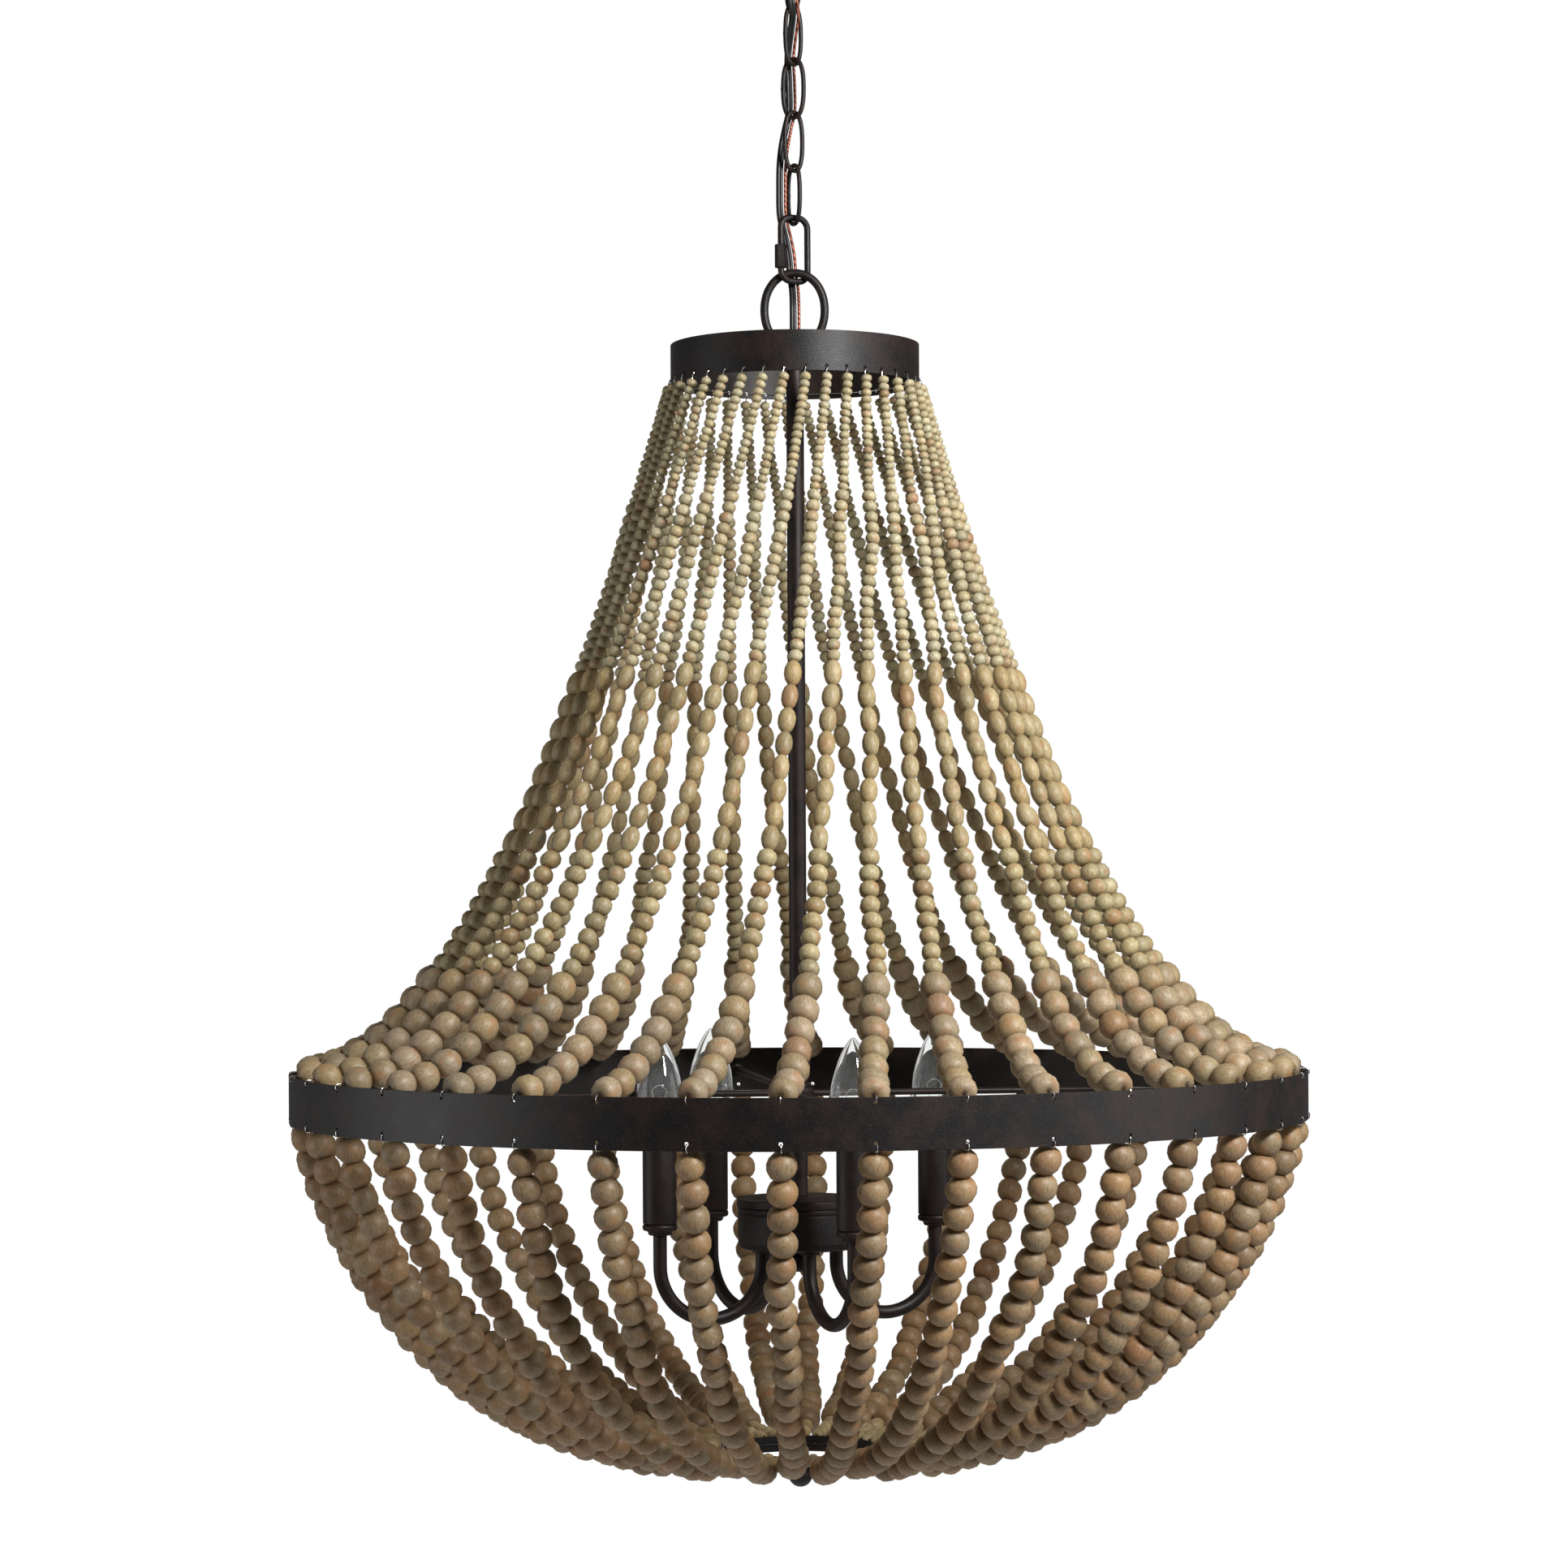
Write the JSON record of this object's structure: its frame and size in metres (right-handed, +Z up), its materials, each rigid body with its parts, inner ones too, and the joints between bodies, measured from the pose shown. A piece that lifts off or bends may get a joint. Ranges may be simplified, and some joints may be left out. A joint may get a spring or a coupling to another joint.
{
  "type": "beaded chandelier",
  "caption": "Chain-hung chandelier with bead strands from a small top band over a wide hoop to a bottom ring, round a cluster of candle lamps.",
  "frame": {"origin": "centre of the ceiling plane that the crossbar and the canopy rim meet", "axes": "+Z up, -Y towards the viewer of the picture, +X to the viewer's right"},
  "size_m": [0.635, 0.635, 1.0158],
  "materials": {
    "bronze": "dark bronze textured powder coat",
    "beads": "weathered grey-washed wood beads, satin",
    "sleeve": "matte dark brown candle sleeve",
    "socket": "plain lamp socket shell",
    "bulb_glass": "clear glass with a nickel screw base",
    "cord": "dark flat twin lead",
    "ground": "thin copper ground wire in clear sleeve",
    "plated_steel": "plated steel: threaded tube and the wires that the beads are strung on"
  },
  "bodies": {
    "ceiling_mount": {"ceiling_crossbar": "bronze", "threaded_nipple": "plated_steel", "nipple_locknut": "bronze", "canopy_loop": "bronze"},
    "canopy_cover": {"canopy": "bronze", "canopy_collar_nut": "bronze"},
    "chain_link_1": {"chain_link_1": "bronze"},
    "chain_link_2": {"chain_link_2": "bronze"},
    "chain_link_3": {"chain_link_3": "bronze"},
    "chain_link_4": {"chain_link_4": "bronze"},
    "chain_link_5": {"chain_link_5": "bronze"},
    "quick_link": {"quick_link": "bronze"},
    "quick_link_nut": {"quick_link_nut": "bronze"},
    "light": {"ring_loop": "bronze", "top_band": "bronze", "top_bridge": "bronze", "stem_upper": "bronze", "stem_lower": "bronze", "spoke_hub": "bronze", "spoke_1": "bronze", "spoke_2": "bronze", "spoke_3": "bronze", "spoke_4": "bronze", "hoop_band": "bronze", "cluster_lid": "bronze", "cluster_body": "bronze", "cluster_finial": "bronze", "upper_strands_1": "beads", "lower_strands_1": "beads", "upper_strands_2": "beads", "lower_strands_2": "beads", "upper_strands_3": "beads", "lower_strands_3": "beads", "upper_strands_4": "beads", "lower_strands_4": "beads", "bottom_ring": "bronze", "bottom_strap": "bronze", "ball_finial": "bronze", "power_cord": "cord", "ground_wire": "ground"},
    "arm_1": {"arm_1": "bronze", "candle_cup_1": "bronze", "candle_sleeve_1": "sleeve", "lamp_socket_1": "socket"},
    "bulb_1": {"bulb_1": "bulb_glass"},
    "arm_2": {"arm_2": "bronze", "candle_cup_2": "bronze", "candle_sleeve_2": "sleeve", "lamp_socket_2": "socket"},
    "bulb_2": {"bulb_2": "bulb_glass"},
    "arm_3": {"arm_3": "bronze", "candle_cup_3": "bronze", "candle_sleeve_3": "sleeve", "lamp_socket_3": "socket"},
    "bulb_3": {"bulb_3": "bulb_glass"},
    "arm_4": {"arm_4": "bronze", "candle_cup_4": "bronze", "candle_sleeve_4": "sleeve", "lamp_socket_4": "socket"},
    "bulb_4": {"bulb_4": "bulb_glass"}
  },
  "joints": [
    {"name": "canopy_slide", "type": "slide", "parent": "ceiling_mount", "child": "canopy_cover", "axis": [0, 0, -1], "range_m": [0, 0.018]},
    {"name": "chain_link_1_swing", "type": "hinge", "parent": "ceiling_mount", "child": "chain_link_1", "pos_m": [0, 0, -0.057], "axis": [1, 0, 0], "range_deg": [-8, 8], "deforming": ["power_cord", "ground_wire"]},
    {"name": "chain_link_2_swing", "type": "hinge", "parent": "chain_link_1", "child": "chain_link_2", "pos_m": [0, 0, -0.08985], "axis": [0.5592, -0.829, 0], "range_deg": [-8, 8]},
    {"name": "chain_link_3_swing", "type": "hinge", "parent": "chain_link_2", "child": "chain_link_3", "pos_m": [0, 0, -0.12325], "axis": [0.682, 0.7314, 0], "range_deg": [-8, 8]},
    {"name": "chain_link_4_swing", "type": "hinge", "parent": "chain_link_3", "child": "chain_link_4", "pos_m": [0, 0, -0.15665], "axis": [0.9063, -0.4226, 0], "range_deg": [-8, 8]},
    {"name": "chain_link_5_swing", "type": "hinge", "parent": "chain_link_4", "child": "chain_link_5", "pos_m": [0, 0, -0.19005], "axis": [0.766, 0.6428, 0], "range_deg": [-8, 8]},
    {"name": "quick_link_swing", "type": "hinge", "parent": "chain_link_5", "child": "quick_link", "pos_m": [0, 0, -0.22345], "axis": [0.515, -0.8572, 0], "range_deg": [-8, 8]},
    {"name": "quick_link_nut_slide", "type": "slide", "parent": "quick_link", "child": "quick_link_nut", "axis": [0, 0, 1], "range_m": [0, 0.006]},
    {"name": "light_swing", "type": "hinge", "parent": "quick_link", "child": "light", "pos_m": [0, 0, -0.2595], "axis": [0.829, 0.5592, 0], "range_deg": [-8, 8]},
    {"name": "arm_1_swivel", "type": "hinge", "parent": "light", "child": "arm_1", "pos_m": [-0.02318, -0.00621, -0.87], "axis": [0, 0, 1], "range_deg": [0, 30]},
    {"name": "arm_2_swivel", "type": "hinge", "parent": "light", "child": "arm_2", "pos_m": [-0.01543, 0.01838, -0.87], "axis": [0, 0, 1], "range_deg": [-20, 20]},
    {"name": "arm_3_swivel", "type": "hinge", "parent": "light", "child": "arm_3", "pos_m": [0.00621, -0.02318, -0.87], "axis": [0, 0, 1], "range_deg": [0, 30]},
    {"name": "arm_4_swivel", "type": "hinge", "parent": "light", "child": "arm_4", "pos_m": [0.02318, 0.00621, -0.87], "axis": [0, 0, 1], "range_deg": [0, 30]},
    {"name": "bulb_1_lift", "type": "slide", "parent": "arm_1", "child": "bulb_1", "axis": [0, 0, 1], "range_m": [0, 0.03]},
    {"name": "bulb_2_lift", "type": "slide", "parent": "arm_2", "child": "bulb_2", "axis": [0, 0, 1], "range_m": [0, 0.03]},
    {"name": "bulb_3_lift", "type": "slide", "parent": "arm_3", "child": "bulb_3", "axis": [0, 0, 1], "range_m": [0, 0.03]},
    {"name": "bulb_4_lift", "type": "slide", "parent": "arm_4", "child": "bulb_4", "axis": [0, 0, 1], "range_m": [0, 0.03]}
  ]
}
